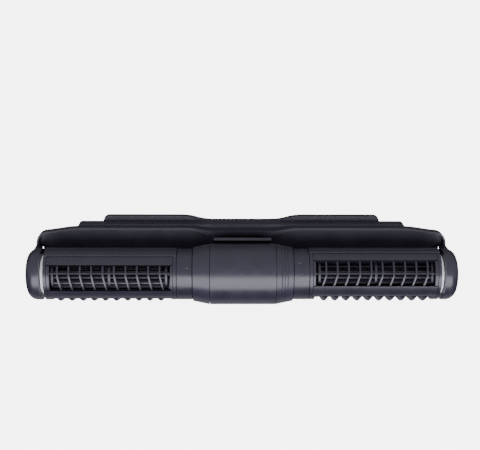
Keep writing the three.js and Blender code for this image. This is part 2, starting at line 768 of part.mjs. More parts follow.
// The inlet's ribs stand a little proud of the cage.
function inletGuard() {
  const turn = [INLET_WINDOW[0] - 2, INLET_WINDOW[1] + 2];
  const radius = [CAGE_BORE + 0.2, CAGE_RADIUS + INLET_RIB_RISE];
  const ribs = ribCentres.map((centre) => rib({ centre, width: INLET_RIB_WIDTH, radius, turn, steps: 4 }));
  const frame = panel(INLET_PANEL, INLET_WINDOW, 8);
  return joined(frame, ...ribs, stringer((INLET_WINDOW[0] + INLET_WINDOW[1]) / 2, 3));
}

// ---------------------------------------------------------------- rotor pieces

const COUPLER_END = IMPELLER_START + 3;
const shaft = () => rod(-SHAFT_END, SHAFT_END, SHAFT_RADIUS, SMALL_ROUND);
const magnetRotor = () =>
  ring(-MAGNET_ROTOR_HALF, MAGNET_ROTOR_HALF, SHAFT_RADIUS + PRESS, MAGNET_ROTOR_RADIUS, SMALL_ROUND);
const thrustWasher = () =>
  ring(WASHER_START, WASHER_START + WASHER_THICK, SHAFT_RADIUS + PRESS, BEARING_RADIUS, SMALL_ROUND);

function driveCoupler() {
  const socket = SHAFT_RADIUS + PRESS;
  return turned(
    [
      [SHAFT_END + PRESS, 0],
      [SHAFT_END + PRESS, socket],
      [COUPLER_START, socket],
      [COUPLER_START, COUPLER_RADIUS],
      [COUPLER_END, COUPLER_RADIUS],
      [COUPLER_END, 0],
    ],
    SMALL_ROUND,
  );
}

const PIN_START = IMPELLER_END - 6;
const pivotPin = () => rod(PIN_START, PIN_END, PIN_RADIUS, SMALL_ROUND);

// One curved blade, drawn where it stands on the +Y side of the axis.
function blade(turn) {
  const outer = IMPELLER_RADIUS - 0.9;
  const inner = outer - BLADE_DEPTH;
  const middle = (inner + outer) / 2;
  const thick = 0.9;
  const section = new THREE.Shape();
  section.moveTo(inner, 0);
  section.quadraticCurveTo(middle, -0.4, outer, 2.2);
  section.lineTo(outer, 2.2 + thick);
  section.quadraticCurveTo(middle, thick - 0.4, inner, thick);
  section.closePath();
  const overlap = DISC_THICK / 2;
  const bar = beamShape(section, IMPELLER_START + overlap, IMPELLER_END - overlap, 1);
  return solid(bar.rotateX(radians(turn)));
}

function impeller() {
  const socket = COUPLER_RADIUS + PRESS;
  const drivenDisc = turned([
    [COUPLER_END + PRESS, 0],
    [COUPLER_END + PRESS, socket],
    [IMPELLER_START, socket],
    [IMPELLER_START, IMPELLER_RADIUS],
    [IMPELLER_START + DISC_THICK, IMPELLER_RADIUS],
    [IMPELLER_START + DISC_THICK, socket + 2.4],
    [COUPLER_END + 2, socket + 2.4],
    [COUPLER_END + 2, 0],
  ], DISC_ROUND);
  const pinSocket = PIN_RADIUS + PRESS;
  const outerDisc = turned([
    [PIN_START - PRESS, 0],
    [PIN_START - PRESS, pinSocket],
    [IMPELLER_END, pinSocket],
    [IMPELLER_END, IMPELLER_RADIUS],
    [IMPELLER_END - DISC_THICK, IMPELLER_RADIUS],
    [IMPELLER_END - DISC_THICK, pinSocket + 2.4],
    [PIN_START - 2, pinSocket + 2.4],
    [PIN_START - 2, 0],
  ], DISC_ROUND);
  const middle = (IMPELLER_START + IMPELLER_END) / 2;
  const middleRing = ring(
    middle - DISC_THICK / 2,
    middle + DISC_THICK / 2,
    IMPELLER_RADIUS - BLADE_DEPTH - 1,
    IMPELLER_RADIUS,
    DISC_ROUND,
  );
  return joined(drivenDisc, outerDisc, middleRing, ...aroundAxis(blade, BLADE_COUNT));
}

// ---------------------------------------------------------------- materials

function material(color, roughness, metalness = 0) {
  return new THREE.MeshStandardMaterial({ color, roughness, metalness });
}

const bodyPlastic = () => material(0x2b2933, 0.35);
const cagePlastic = () => material(0x26242e, 0.4);
const impellerPlastic = () => material(0x1c1b22, 0.5);
const whitePlastic = () => material(0xf0f0ee, 0.4);
const padRubber = () => material(0x17171a, 0.9);
const sealRubber = () => material(0x101012, 0.8);
const stainless = () => material(0xb9bcc0, 0.3, 1);
const magnetPlating = () => material(0x8f9296, 0.35, 1);
const zincSteel = () => material(0x9a9c9f, 0.45, 1);
const laminations = () => material(0x5c5e63, 0.5, 1);
const copper = () => material(0xb0683a, 0.4, 1);
const ceramic = () => material(0xe4e2dc, 0.3);
const boardGreen = () => material(0x1f5a38, 0.5);

// ---------------------------------------------------------------- assembly

function geometryOf(shape) {
  const mesh = shape.getMesh();
  const geometry = new THREE.BufferGeometry();
  geometry.setAttribute("position", new THREE.BufferAttribute(new Float32Array(mesh.vertProperties), 3));
  geometry.setIndex(new THREE.BufferAttribute(new Uint32Array(mesh.triVerts), 1));
  return geometry;
}

const pump = new THREE.Group();
pump.name = "wave_maker_pump";

function add(name, shape, finish) {
  const geometry = geometryOf(shape).toNonIndexed();
  geometry.computeVertexNormals();
  const mesh = new THREE.Mesh(geometry, finish);
  mesh.name = name;
  pump.add(mesh);
  return mesh;
}

// Adds a left and a right copy of a piece drawn on the +X side.
function addPair(name, shape, finish) {
  add(name + "_right", shape, finish());
  const left = add(name + "_left", shape, finish());
  left.scale.x = -1;
}

// The same for a piece of a cage, each copy turned as its cage is set.
// Each piece of a cage is made for the turn its cage is set at, and then turned to it.
function addCagePair(name, shapeAt, finish) {
  const right = add(name + "_right", shapeAt(RIGHT_CAGE_TURN), finish());
  right.rotation.x = -radians(RIGHT_CAGE_TURN);
  const left = add(name + "_left", shapeAt(LEFT_CAGE_TURN), finish());
  left.scale.x = -1;
  left.rotation.x = -radians(LEFT_CAGE_TURN);
}

add("back_frame", backFrame(), bodyPlastic());
add("magnet_housing", magnetHousing(), bodyPlastic());
add("magnet_cover", magnetCover(), bodyPlastic());
add("glass_pad", glassPad(), padRubber());
add("keeper_plate", keeperPlate(), zincSteel());
addPair("magnet", magnet(), magnetPlating);
coverScrewPlaces.forEach((place, i) => add("cover_screw_" + (i + 1), coverScrew(place), stainless()));
bothSides.forEach((side, i) => add("foot_screw_" + (i + 1), footScrew(side), stainless()));

addPair("end_cap", endCap(), bodyPlastic);
addPair("end_cap_screw", capScrew(), stainless);
addPair("end_ring", endRing(), whitePlastic);
addPair("end_bearing", endBearing(), ceramic);

add("motor_shell", motorShell(), bodyPlastic());
add("motor_end_bell_right", endBell(true), bodyPlastic());
add("motor_end_bell_left", endBell(false), bodyPlastic()).scale.x = -1;
addPair("seal_ring", sealRing(), sealRubber);
addPair("motor_bearing", motorBearing(), ceramic);
add("stator_core", statorCore(), laminations());
aroundAxis(coil, TOOTH_COUNT).forEach((shape, i) => add("coil_" + (i + 1), shape, copper()));
add("stator_can", statorCan(), bodyPlastic());
add("driver_board", driverBoard(), boardGreen());
add("cable_gland", cableGland(), bodyPlastic());
add("gland_nut", glandNut(), bodyPlastic());

addCagePair("cage_shell", cageShell, cagePlastic);
addCagePair("cage_collar", cageCollar, cagePlastic);
addCagePair("outlet_grille", outletGrille, cagePlastic);
addCagePair("inlet_guard", inletGuard, cagePlastic);

add("shaft", shaft(), stainless());
add("magnet_rotor", magnetRotor(), magnetPlating());
addPair("thrust_washer", thrustWasher(), ceramic);
addPair("drive_coupler", driveCoupler(), impellerPlastic);
addPair("impeller", impeller(), impellerPlastic);
addPair("pivot_pin", pivotPin(), stainless);

pump.position.y = -AXIS_TO_GLASS;

export default pump;
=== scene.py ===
import json
import math

import bmesh
import bpy
from mathutils import Matrix, Vector


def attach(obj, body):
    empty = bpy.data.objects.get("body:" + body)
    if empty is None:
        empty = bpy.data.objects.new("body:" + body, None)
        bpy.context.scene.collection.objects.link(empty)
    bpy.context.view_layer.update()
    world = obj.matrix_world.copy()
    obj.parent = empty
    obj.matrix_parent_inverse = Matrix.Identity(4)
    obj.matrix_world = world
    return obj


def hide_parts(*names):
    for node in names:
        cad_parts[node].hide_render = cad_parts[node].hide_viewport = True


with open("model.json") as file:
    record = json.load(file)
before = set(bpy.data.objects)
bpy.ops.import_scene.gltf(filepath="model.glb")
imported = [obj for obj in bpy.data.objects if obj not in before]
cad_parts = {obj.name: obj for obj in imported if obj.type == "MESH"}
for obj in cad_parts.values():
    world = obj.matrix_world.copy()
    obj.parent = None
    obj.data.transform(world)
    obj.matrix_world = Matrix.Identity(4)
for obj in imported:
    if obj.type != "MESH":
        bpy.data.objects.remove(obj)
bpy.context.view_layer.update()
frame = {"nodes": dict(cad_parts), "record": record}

# Sizes below are millimetres about the pump axis, as in the CAD part: +X along the rotor,
# +Y to the glass, +Z up. A turn is an angle in degrees up from straight ahead (-Y).
MM = 0.001
AXIS_Y = -58.0
FACETS = 160
SMALL_FACETS = 64
FIT = 0.3  # gap between two pieces that are fixed to each other
RUN = 0.35  # gap round a piece that turns
THROUGH = 1.0  # how far a cutting shape passes a face it opens

BARREL_HALF = 27.0
BARREL_RADIUS = 25.3
BARREL_BORE = 22.8
FOOT_HALF = (18, 8)  # half length and half height of the motor's foot
BELL_FACE = 27.3
BELL_END = 41.2
COLLAR_START = 41.55
COLLAR_END = 54.2
CAGE_END = 162.4
CAGE_RADIUS = 21.2
CAGE_BORE = 19.0
CAP_START = 165.7
CAP_END = 178.4
CAP_RADIUS = 21.3
BOSS_RADIUS = 12.0
SPIGOT_RADIUS = 16.95
BELL_END_RADIUS = CAGE_RADIUS + 1.3
SHAFT_BORE = 2.85
BEARING_SEAT = 6.3  # radius of the seats that the bearings sit in
GLAND_TURN = 220
GLAND_BOSS_RADIUS = 6
GLAND_START = 27.8
GLAND_RADIUS = 4.4

WINDOW = (59.4, 157.0)
PANEL = (57.3, 159.7)
RIB_COUNT = 10
RIB_PITCH = (WINDOW[1] - WINDOW[0]) / 10.6
RIB_WIDTH = 1.4
BACK_RISE = 0.8
OUTLET_PANEL = (-53, 53)
INLET_PANEL = (-165, -58)
OUTLET_WINDOW = (-30, 30)
INLET_WINDOW = (-159, -64)
LEFT_CAGE_TURN = 9.0
RIGHT_CAGE_TURN = 21.4

HOOD_FRONT = 30.0
HOOD_INSIDE = 35.1
HOOD_BACK = 38.1
HOOD_HALF = 176.0
HOOD_RIM = 1.6
HOOD_DIP = 2.0
ARM_THICK = 3.5
ARM_START = HOOD_HALF - ARM_THICK
HOUSING = (38.4, 49.9)
COVER = (50.2, 56.2)
PAD = (56.5, 58.0)

SCREW_RADIUS = 1.5
SCREW_HEAD = 3.0
SCREW_ROOM = SCREW_RADIUS + FIT
HEAD_THICK = 1.7


# ------------------------------------------------------------------ mesh helpers

def to_object(name, mesh_data):
    """A linked object from a bmesh in millimetres about the pump axis, moved to the row frame."""
    bmesh.ops.recalc_face_normals(mesh_data, faces=mesh_data.faces)
    mesh_data.transform(Matrix.Scale(MM, 4) @ Matrix.Translation((0, AXIS_Y, 0)))
    mesh = bpy.data.meshes.new(name)
    mesh_data.to_mesh(mesh)
    mesh_data.free()
    piece = bpy.data.objects.new(name, mesh)
    bpy.context.scene.collection.objects.link(piece)
    return piece


def add_rings(target, rings, closed_round=True, closed_loop=True):
    """Faces between rings of vertices; a ring of one vertex is a pole."""
    pairs = list(zip(rings, rings[1:]))
    if closed_loop:
        pairs.append((rings[-1], rings[0]))
    for low, high in pairs:
        count = max(len(low), len(high))
        last = count if closed_round else count - 1
        for i in range(last):
            j = (i + 1) % count
            corners = [low[i % len(low)], low[j % len(low)], high[j % len(high)], high[i % len(high)]]
            distinct = list(dict.fromkeys(corners))
            if len(distinct) > 2:
                target.faces.new(distinct)


def turned(profile, facets=FACETS):
    """A profile of (x, radius) points turned about the pump axis."""
    shape = bmesh.new()
    rings = []
    for x, radius in profile:
        if radius < 1e-6:
            rings.append([shape.verts.new((x, 0, 0))])
            continue
        angles = [2 * math.pi * i / facets for i in range(facets)]
        rings.append([shape.verts.new((x, -radius * math.cos(a), radius * math.sin(a))) for a in angles])
    on_axis = profile[0][1] < 1e-6 and profile[-1][1] < 1e-6
    add_rings(shape, rings, closed_loop=not on_axis)
    return shape


def ring_shape(x0, x1, inner, outer, facets=FACETS):
    return turned([(x0, inner), (x0, outer), (x1, outer), (x1, inner)], facets)


def rod_shape(x0, x1, radius, facets=SMALL_FACETS):
    return turned([(x0, 0), (x0, radius), (x1, radius), (x1, 0)], facets)


def box_shape(x, y, z):
    shape = bmesh.new()
    bmesh.ops.create_cube(shape, size=1)
    size = Matrix.Diagonal((x[1] - x[0], y[1] - y[0], z[1] - z[0], 1))
    middle = Matrix.Translation(((x[0] + x[1]) / 2, (y[0] + y[1]) / 2, (z[0] + z[1]) / 2))
    shape.transform(middle @ size)
    return shape


def block(x, radius):
    """A rectangular section in (x, radius)."""
    return [(x[0], radius[0]), (x[1], radius[0]), (x[1], radius[1]), (x[0], radius[1])]


def bent(section, turns, lean=lambda turn: 0.0):
    """A section of (x, radius) points carried round the pump axis through the turns in the list."""
    shape = bmesh.new()
    rings = []
    for turn in turns:
        a = math.radians(turn)
        shift = lean(turn)
        rings.append([shape.verts.new((x + shift, -r * math.cos(a), r * math.sin(a))) for x, r in section])
    add_rings(shape, rings, closed_loop=False)
    shape.faces.new(rings[0])
    shape.faces.new(rings[-1])
    return shape


def spread(first, last, count):
    return [first + (last - first) * i / (count - 1) for i in range(count)]


def slab(outline, y0, y1):
    """An outline of (x, z) points made a slab between two values of y."""
    shape = bmesh.new()
    front = [shape.verts.new((x, y0, z)) for x, z in outline]
    back = [shape.verts.new((x, y1, z)) for x, z in outline]
    add_rings(shape, [front, back], closed_loop=False)
    shape.faces.new(front)
    shape.faces.new(back)
    return shape


def beam(outline, x0, x1):
    """An outline of (y, z) points made a beam between two values of x."""
    shape = bmesh.new()
    near = [shape.verts.new((x0, y, z)) for y, z in outline]
    far = [shape.verts.new((x1, y, z)) for y, z in outline]
    add_rings(shape, [near, far], closed_loop=False)
    shape.faces.new(near)
    shape.faces.new(far)
    return shape


def merged(first, *others):
    """Several closed shapes kept side by side in one bmesh."""
    for other in others:
        spare = bpy.data.meshes.new("spare")
        other.to_mesh(spare)
        other.free()
        first.from_mesh(spare)
        bpy.data.meshes.remove(spare)
    return first


def apply_modifiers(piece):
    graph = bpy.context.evaluated_depsgraph_get()
    made = bpy.data.meshes.new_from_object(piece.evaluated_get(graph))
    old = piece.data
    piece.modifiers.clear()
    piece.data = made
    made.name = piece.name
    bpy.data.meshes.remove(old)


def combine(piece, shape, operation):
    """Cuts, joins or intersects a shape with a piece for good."""
    tool = to_object("tool", shape)
    step = piece.modifiers.new("step", "BOOLEAN")
    step.operation = operation
    step.solver = "EXACT"
    step.object = tool
    bpy.context.view_layer.update()
    apply_modifiers(piece)
    spare = tool.data
    bpy.data.objects.remove(tool)
    bpy.data.meshes.remove(spare)
    return piece


def cut(piece, *shapes):
    for shape in shapes:
        combine(piece, shape, "DIFFERENCE")
    return piece


def join(piece, *shapes):
    for shape in shapes:
        combine(piece, shape, "UNION")
    return piece


def moved(shape, matrix):
    shape.transform(matrix)
    return shape


def to_side(piece, side, cage_turn=0.0):
    """Turns a piece drawn on the +X side to its place, mirrored for the left side."""
    pump = Matrix.Translation((0, AXIS_Y * MM, 0))
    turn = Matrix.Rotation(-math.radians(cage_turn), 4, "X")
    mirror = Matrix.Diagonal((side, 1, 1, 1))
    piece.data.transform(pump @ turn @ mirror @ pump.inverted())
    if side < 0:
        piece.data.flip_normals()
    return piece


def tidy_mesh(piece):
    """Drops the slivers that cuts leave and joins faces that lie in one plane."""
    shape = bmesh.new()
    shape.from_mesh(piece.data)
    bmesh.ops.dissolve_degenerate(shape, edges=shape.edges, dist=0.02 * MM)
    bmesh.ops.remove_doubles(shape, verts=shape.verts, dist=0.02 * MM)
    flat = math.radians(0.2)
    bmesh.ops.dissolve_limit(shape, angle_limit=flat, verts=shape.verts, edges=shape.edges)
    shape.to_mesh(piece.data)
    shape.free()


def soften(piece, width, segments=3, angle=32):
    """Rounds the sharp edges, as a mould does, and shades the rest smooth."""
    tidy_mesh(piece)
    bevel = piece.modifiers.new("round_edges", "BEVEL")
    bevel.width = width * MM
    bevel.segments = segments
    bevel.limit_method = "ANGLE"
    bevel.angle_limit = math.radians(angle)
    bevel.use_clamp_overlap = True
    bpy.context.view_layer.update()
    apply_modifiers(piece)
    piece.data.shade_smooth()
    piece.data.set_sharp_from_angle(angle=math.radians(40))
    normals = piece.modifiers.new("flat_faces", "WEIGHTED_NORMAL")
    normals.keep_sharp = True
    normals.weight = 90
    return piece


def place(piece, body, slot, finish, *nodes):
    piece.data.materials.clear()
    piece.data.materials.append(finish)
    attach(piece, body)
    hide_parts(*nodes)
    return piece


# ------------------------------------------------------------------ materials

def new_material(name):
    finish = bpy.data.materials.new(name)
    finish.use_nodes = True
    return finish, finish.node_tree.nodes, finish.node_tree.links


def noise(nodes, links, scale, detail, stretch):
    """Noise over the piece's own space, in cells per metre."""
    where = nodes.new("ShaderNodeTexCoord")
    squeeze = nodes.new("ShaderNodeMapping")
    squeeze.inputs["Scale"].default_value = stretch
    texture = nodes.new("ShaderNodeTexNoise")
    texture.inputs["Scale"].default_value = scale
    texture.inputs["Detail"].default_value = detail
    links.new(where.outputs["Object"], squeeze.inputs["Vector"])
    links.new(squeeze.outputs["Vector"], texture.inputs["Vector"])
    return texture.outputs["Fac"]


NOISE_RANGE = (0.3, 0.7)  # where nearly all of the noise lies


def colour_between(nodes, links, value, low, high):
    ramp = nodes.new("ShaderNodeValToRGB")
    ramp.color_ramp.elements[0].position = NOISE_RANGE[0]
    ramp.color_ramp.elements[1].position = NOISE_RANGE[1]
    ramp.color_ramp.elements[0].color = (*low, 1)
    ramp.color_ramp.elements[1].color = (*high, 1)
    links.new(value, ramp.inputs["Fac"])
    return ramp.outputs["Color"]


def ramp_of(nodes, links, value, start, end, low, high):
    """A value carried from the range start to end over to the range low to high."""
    ramp = nodes.new("ShaderNodeMapRange")
    ramp.inputs["From Min"].default_value = start
    ramp.inputs["From Max"].default_value = end
    ramp.inputs["To Min"].default_value = low
    ramp.inputs["To Max"].default_value = high
    links.new(value, ramp.inputs["Value"])
    return ramp.outputs["Result"]


def range_of(nodes, links, value, low, high):
    return ramp_of(nodes, links, value, *NOISE_RANGE, low, high)


def bump(nodes, links, value, depth, strength):
    raised = nodes.new("ShaderNodeBump")
    raised.inputs["Distance"].default_value = depth
    raised.inputs["Strength"].default_value = strength
    links.new(value, raised.inputs["Height"])
    return raised.outputs["Normal"]


GRAIN_STRENGTH = 0.4
BROAD_GRAIN = 30  # how much coarser the uneven colour and gloss are than the grain


def surface(name, low, high, rough, grain, depth, metal=0.0, stretch=(1, 1, 1), specular=0.5):
    """One moulded, drawn or rubbed surface: two close colours, uneven gloss and a fine grain.

    The grain is in cells per metre and its depth in metres."""
    finish, nodes, links = new_material(name)
    shader = nodes["Principled BSDF"]
    shader.inputs["Metallic"].default_value = metal
    shader.inputs["Specular IOR Level"].default_value = specular
    broad = noise(nodes, links, grain / BROAD_GRAIN, 4, stretch)
    fine = noise(nodes, links, grain, 2, stretch)
    links.new(colour_between(nodes, links, broad, low, high), shader.inputs["Base Color"])
    links.new(range_of(nodes, links, broad, *rough), shader.inputs["Roughness"])
    links.new(bump(nodes, links, fine, depth, GRAIN_STRENGTH), shader.inputs["Normal"])
    return finish


def body_plastic():
    return surface(
        "body_plastic", low=(0.016, 0.015, 0.024), high=(0.020, 0.018, 0.029),
        rough=(0.27, 0.34), grain=2600, depth=0.00001,
    )


def bracket_plastic():
    return surface(
        "bracket_plastic", low=(0.018, 0.016, 0.026), high=(0.022, 0.020, 0.031),
        rough=(0.36, 0.44), grain=2200, depth=0.00002, specular=0.35,
    )


def cage_plastic():
    return surface(
        "cage_plastic", low=(0.014, 0.013, 0.021), high=(0.018, 0.016, 0.025),
        rough=(0.25, 0.32), grain=2600, depth=0.00001,
    )


def impeller_plastic():
    return surface(
        "impeller_plastic", low=(0.018, 0.016, 0.024), high=(0.023, 0.020, 0.029),
        rough=(0.35, 0.45), grain=2200, depth=0.00001,
    )


def white_plastic():
    return surface(
        "white_plastic", low=(0.90, 0.90, 0.90), high=(0.94, 0.94, 0.94),
        rough=(0.35, 0.45), grain=2200, depth=0.00001,
    )


def mark_paint():
    return surface(
        "mark_paint", low=(0.045, 0.045, 0.055), high=(0.055, 0.055, 0.065),
        rough=(0.4, 0.5), grain=3000, depth=0.00001,
    )


def pad_rubber():
    return surface(
        "pad_rubber", low=(0.010, 0.010, 0.011), high=(0.018, 0.018, 0.019),
        rough=(0.75, 0.9), grain=1500, depth=0.00005,
    )


def seal_rubber():
    return surface(
        "seal_rubber", low=(0.008, 0.008, 0.009), high=(0.013, 0.013, 0.014),
        rough=(0.6, 0.75), grain=2500, depth=0.00001,
    )


def stainless_steel():
    return surface(
        "stainless_steel", low=(0.50, 0.51, 0.53), high=(0.62, 0.63, 0.65),
        rough=(0.22, 0.34), grain=2600, depth=0.000006, metal=1.0, stretch=(0.15, 1, 1),
    )


def magnet_plating():
    return surface(
        "magnet_plating", low=(0.42, 0.42, 0.43), high=(0.50, 0.50, 0.51),
        rough=(0.25, 0.35), grain=1600, depth=0.000008, metal=1.0,
    )


def zinc_steel():
    return surface(
        "zinc_steel", low=(0.36, 0.38, 0.42), high=(0.50, 0.51, 0.53),
        rough=(0.35, 0.5), grain=900, depth=0.00001, metal=1.0,
    )


def lamination_steel():
    return surface(
        "lamination_steel", low=(0.12, 0.12, 0.13), high=(0.26, 0.26, 0.28),
        rough=(0.4, 0.55), grain=1800, depth=0.00008, metal=1.0, stretch=(1, 0.02, 0.02),
    )


def copper_wire():
    return surface(
        "copper_wire", low=(0.45, 0.17, 0.06), high=(0.68, 0.30, 0.13),
        rough=(0.3, 0.42), grain=1600, depth=0.0001, metal=1.0, stretch=(0.03, 1, 1),
    )


def bearing_ceramic():
    return surface(
        "bearing_ceramic", low=(0.74, 0.73, 0.69), high=(0.80, 0.79, 0.75),
        rough=(0.12, 0.2), grain=2600, depth=0.000004,
    )


def board_laminate():
    return surface(
        "board_laminate", low=(0.02, 0.12, 0.05), high=(0.03, 0.17, 0.08),
        rough=(0.35, 0.5), grain=1400, depth=0.00002,
    )


FINISHES = {
    make.__name__: make()
    for make in (
        body_plastic, cage_plastic, impeller_plastic, white_plastic, pad_rubber, seal_rubber,
        stainless_steel, magnet_plating, zinc_steel, lamination_steel, copper_wire,
        bearing_ceramic, board_laminate,
    )
}
BRACKET_FINISH = bracket_plastic()
MARK_FINISH = mark_paint()


# ------------------------------------------------------------------ bracket outlines

def bezier(points, count):
    """Points along a Bezier curve, without its first."""
    made = []
    for i in range(1, count + 1):
        t = i / count
        left = [Vector(p) for p in points]
        while len(left) > 1:
            left = [a.lerp(b, t) for a, b in zip(left, left[1:])]
        made.append(tuple(left[0]))
    return made


def from_quarter(quarter):
    """A closed outline from its first quarter, which runs from the z axis to the x axis."""
    right = quarter + [(x, -z) for x, z in reversed(quarter) if z > 1e-6]
    return right + [(-x, z) for x, z in reversed(right) if x > 1e-6]


# The half heights of an outline with a waist, and where along x it rises from its waist to its level.
HOOD_SHAPE = {"waist": 28, "waist_end": 22, "level_start": 50, "level": 30.6}
HOOD_FALL = 34  # length over which the hood falls to its shoulder
HOOD_SHOULDER = 27.4
HOOD_CORNER = 12
COVER_SHAPE = {"waist": 31.7, "waist_end": 24, "level_start": 54, "level": 35.7}
COVER_END = 120.7
COVER_CORNER = 6
HOUSING_LEVEL = 31.5
HOUSING_END = 141.7
HOUSING_CORNER = 4


def dipped(inset, waist, waist_end, level_start, level, dip=0.0):
    """The first stretch of an outline: a waist that rises in an S to its level."""
    low = waist - inset - dip
    high = level - inset
    middle = (waist_end + level_start) / 2
    rise = bezier([(waist_end, low), (middle, low), (middle, high), (level_start, high)], 20)
    return [(0, low), (waist_end, low)] + rise


def rounded_end(end, high, corner):
    """The last stretch of an outline: a rounded corner down to the x axis."""
    turn = bezier([(end - corner, high), (end, high), (end, high - corner)], 14)
    return [(end - corner, high)] + turn + [(end, 0)]


def hood_outline(inset, dip=0.0):
    """The hood bends softly from its level into a straight fall to its shoulder."""
    level = HOOD_SHAPE["level"] - inset
    fall_start = HOOD_HALF - HOOD_FALL
    fall = bezier([(fall_start - 10, level), (fall_start, level), (fall_start + 6, level - 0.8)], 6)
    end = rounded_end(HOOD_HALF - inset, HOOD_SHOULDER - inset, HOOD_CORNER - inset)
    return from_quarter(dipped(inset, **HOOD_SHAPE, dip=dip) + [(fall_start - 10, level)] + fall + end)


def cover_outline(inset):
    corner = max(COVER_CORNER - inset, 1)
    end = rounded_end(COVER_END - inset, COVER_SHAPE["level"] - inset, corner)
    return from_quarter(dipped(inset, **COVER_SHAPE) + end)


def housing_outline(inset):
    level = HOUSING_LEVEL - inset
    return from_quarter([(0, level)] + rounded_end(HOUSING_END - inset, level, HOUSING_CORNER))


# ------------------------------------------------------------------ bracket pieces

COVER_SCREW_X = 112
COVER_SCREW_LEVELS = (-19, 7)
COVER_SCREWS = [(side * COVER_SCREW_X, level) for side in (-1, 1) for level in COVER_SCREW_LEVELS]
COVER_SCREW_LENGTH = 20.6
ARM_HIGH = 15.4
ARM_GAP = 0.6  # between an arm and the end cap that it hugs
DRAIN_X = (ARM_START - 1.5, ARM_START - 0.3)
DRAIN_LEVEL = (9.5, 12.5)


def arm_shape(side):
    """An arm from the hood to the end cap; it hugs the back of the cap."""
    hug = CAGE_RADIUS + ARM_GAP
    start = math.asin(ARM_HIGH / hug)
    arc = [(hug * math.cos(a), hug * math.sin(a)) for a in spread(start, -start, 33)]
    outline = [(HOOD_BACK - 0.5, -ARM_HIGH), (HOOD_BACK - 0.5, ARM_HIGH)] + arc
    x = sorted((side * ARM_START, side * HOOD_HALF))
    return beam(outline, *x)


def bar_along_y(x, z, y0, y1, radius, facets=48):
    shape = rod_shape(y0, y1, radius, facets)
    return moved(shape, Matrix.Translation((x, 0, z)) @ Matrix.Rotation(math.pi / 2, 4, "Z"))


def drain_slots():
    """A small slot through the hood at each of its four corners, beside the arms."""
    y = (HOOD_INSIDE - 2, HOOD_BACK + 2)
    shapes = []
    for side in (-1, 1):
        for level in (-1, 1):
            x = sorted(side * end for end in DRAIN_X)
            z = sorted(level * end for end in DRAIN_LEVEL)
            shapes.append(box_shape(x, y, z))
    return shapes


SADDLE_HALF = 24
SADDLE_BORE = BARREL_RADIUS + FIT
SADDLE_OUTSIDE = SADDLE_BORE + 4.6
SADDLE_LIP = 2.2
SEAT_TURNS = (130, 230)
LIP_TURNS = (112, 248)
WEB_HALF = 15
WEB_START = 20


def make_saddle():
    """The seat behind the barrel, two lips that stand off it, and the web to the hood."""
    length = (-SADDLE_HALF, SADDLE_HALF)
    web = box_shape(length, (WEB_START, HOOD_INSIDE + THROUGH), (-WEB_HALF, WEB_HALF))
    saddle = to_object("saddle", web)
    seat = block(length, (SADDLE_BORE - 0.2, SADDLE_OUTSIDE - 1))
    join(saddle, bent(seat, spread(*SEAT_TURNS, 41)))
    lips = block(length, (SADDLE_OUTSIDE - SADDLE_LIP, SADDLE_OUTSIDE))
    join(saddle, bent(lips, spread(*LIP_TURNS, 61)))
    cut(saddle, rod_shape(-SADDLE_HALF - 6, SADDLE_HALF + 6, SADDLE_BORE, FACETS))
    cut(saddle, moved(rod_shape(WEB_START, HOOD_BACK, GLAND_BOSS_RADIUS + 1), lay_along(GLAND_TURN)))
    foot_x, foot_z = [(-half - FIT, half + FIT) for half in FOOT_HALF]
    cut(saddle, box_shape(foot_x, (WEB_START / 2, HOOD_INSIDE - 0.2), foot_z))
    soften(saddle, 0.35, 3)
    place(saddle, "bracket", "body_plastic", BRACKET_FINISH)


def make_hood():
    """The hood is a shallow tray, with an arm at each end that hugs the end cap."""
    hood = to_object("hood", slab(hood_outline(0), HOOD_FRONT, HOOD_BACK))
    cut(hood, slab(hood_outline(HOOD_RIM, HOOD_DIP), HOOD_FRONT - THROUGH, HOOD_INSIDE))
    join(hood, arm_shape(-1), arm_shape(1))
    cut(hood, *drain_slots())
    for x, z in COVER_SCREWS:
        cut(hood, bar_along_y(x, z, HOOD_FRONT, HOOD_BACK + THROUGH, SCREW_ROOM))
    soften(hood, 0.4, 3)
    place(hood, "bracket", "body_plastic", BRACKET_FINISH, "back_frame")


def lay_along(turn):
    """Takes a shape turned about +X from the pump axis out along a turn."""
    return Matrix.Rotation(math.pi - math.radians(turn), 4, "X") @ Matrix.Rotation(math.pi / 2, 4, "Z")


HOUSING_WALL = 2.4
COVER_LIP = 7
COVER_TOP = 1.5
PAD_INSET = 3  # from the cover's edge
PAD_GROOVE = (6, 7.2)  # the groove's two sides, from the cover's edge
PAD_GROOVE_DEPTH = 0.5


def make_housing():
    housing = to_object("housing", slab(housing_outline(0), *HOUSING))
    hollow = slab(housing_outline(HOUSING_WALL), HOUSING[0] + HOUSING_WALL, HOUSING[1] + THROUGH)
    cut(housing, hollow)
    soften(housing, 0.8, 4)
    place(housing, "bracket", "body_plastic", BRACKET_FINISH, "magnet_housing")


def make_cover():
    cover = to_object("cover", slab(cover_outline(0), *COVER))
    cut(cover, slab(cover_outline(COVER_LIP), COVER[0] - THROUGH, COVER[1] - COVER_TOP))
    soften(cover, 1.1, 5)
    place(cover, "bracket", "body_plastic", BRACKET_FINISH, "magnet_cover")


def make_pad():
    """The pad has a narrow groove inside its edge."""
    pad = to_object("pad", slab(cover_outline(PAD_INSET), *PAD))
    floor = PAD[1] - PAD_GROOVE_DEPTH
    outer, inner = PAD_GROOVE
    cut(pad, slab(cover_outline(outer), floor, PAD[1] + THROUGH))
    join(pad, slab(cover_outline(inner), floor - 0.3, PAD[1]))
    soften(pad, 0.25, 3)
    place(pad, "bracket", "pad_rubber", FINISHES["pad_rubber"], "glass_pad")


RECESS_WIDTH = 0.8
RECESS_LONG = 3.4
RECESS_DEPTH = 1.1


